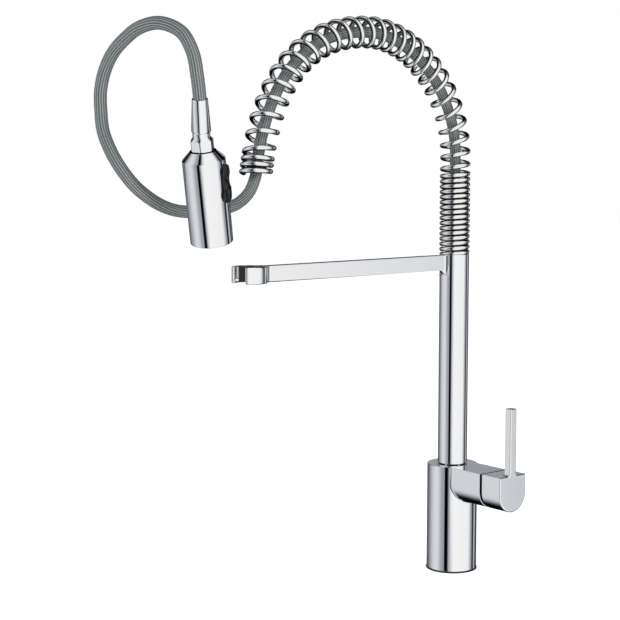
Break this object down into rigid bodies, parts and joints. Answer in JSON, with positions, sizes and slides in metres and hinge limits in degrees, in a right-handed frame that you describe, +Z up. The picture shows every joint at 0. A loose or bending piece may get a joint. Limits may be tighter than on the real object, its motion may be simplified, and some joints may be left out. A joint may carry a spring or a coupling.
{
  "type": "pull down kitchen faucet",
  "caption": "Tall pull-down kitchen faucet with a coil spring arch round its hose, a docking arm with an open clip, a side lever handle and a spray head on a free hose loop.",
  "frame": {"origin": "on the deck at the middle of the base", "axes": "+Z up along the riser, -Y along the docking arm away from the riser, +X towards the handle"},
  "size_m": [0.1568, 0.4775, 0.5706],
  "materials": {
    "chrome": "polished",
    "brass": "machined",
    "steel": "satin",
    "spring_steel": "polished",
    "rubber": "matte",
    "white_plastic": "matte",
    "grey_plastic": "matte",
    "black_plastic": "satin",
    "braid": "braided"
  },
  "bodies": {
    "body": {"base_gasket": "rubber", "base_ring": "black_plastic", "body_shell": "chrome", "hot_inlet_nipple": "brass", "cold_inlet_nipple": "brass", "outlet_nipple": "brass", "cartridge_seal": "rubber", "cartridge_body": "white_plastic", "cartridge_nut": "brass", "cartridge_collar": "black_plastic", "swivel_bush": "black_plastic", "spigot_retainer": "steel"},
    "spout": {"spigot": "brass", "lower_spigot_ring": "rubber", "upper_spigot_ring": "rubber", "riser_tube": "chrome", "docking_arm": "chrome", "clip_liner": "rubber", "arm_screw": "steel", "spring_seat": "steel", "spring": "spring_steel", "hose_guide": "black_plastic", "hose_in_spring": "braid", "spray_hose": "braid", "hose_ferrule": "chrome", "ball_stud": "brass"},
    "temperature": {"stem_yoke": "grey_plastic", "stem_pin": "steel"},
    "handle": {"cartridge_stem": "brass", "handle": "chrome", "handle_set_screw": "steel"},
    "neck": {"ball_seat": "white_plastic", "swivel_nut": "chrome"},
    "head": {"head_shell": "chrome", "head_washer": "rubber", "valve_block": "white_plastic", "check_valve": "grey_plastic", "rocker_pin": "steel", "plunger_spring": "steel", "spray_face": "rubber", "aerator": "grey_plastic", "face_ring": "grey_plastic"},
    "rocker": {"rocker_button": "black_plastic"},
    "plunger": {"diverter_plunger": "grey_plastic"}
  },
  "joints": [
    {"name": "spout_swivel", "type": "hinge", "parent": "body", "child": "spout", "pos_m": [0, 0, 0.1128], "axis": [0, 0, 1], "range_deg": [-180, 180]},
    {"name": "temperature_turn", "type": "hinge", "parent": "body", "child": "temperature", "pos_m": [0.0352, 0, 0.0942], "axis": [1, 0, 0], "range_deg": [-40, 40]},
    {"name": "flow_tilt", "type": "hinge", "parent": "temperature", "child": "handle", "pos_m": [0.0352, 0, 0.0942], "axis": [0, 1, 0], "range_deg": [0, 15]},
    {"name": "head_tilt", "type": "hinge", "parent": "spout", "child": "neck", "pos_m": [0.1136, -0.4019, 0.4527], "axis": [-0.464, 0.8371, 0.2897], "range_deg": [-8, 8]},
    {"name": "head_swivel", "type": "hinge", "parent": "neck", "child": "head", "pos_m": [0.1136, -0.4019, 0.4527], "axis": [0.1764, -0.2332, 0.9563], "continuous": true},
    {"name": "spray_rocker", "type": "hinge", "parent": "head", "child": "rocker", "pos_m": [0.11688, -0.38685, 0.41446], "axis": [-0.464, 0.8371, 0.2897], "range_deg": [-3, 3]},
    {"name": "diverter_slide", "type": "slide", "parent": "head", "child": "plunger", "axis": [-0.8681, -0.4948, 0.0394], "range_m": [-0.0005, 0.0005]}
  ],
  "couplings": [
    {"joint": "diverter_slide", "follows": "spray_rocker", "m_per_rad": 0.0086}
  ]
}
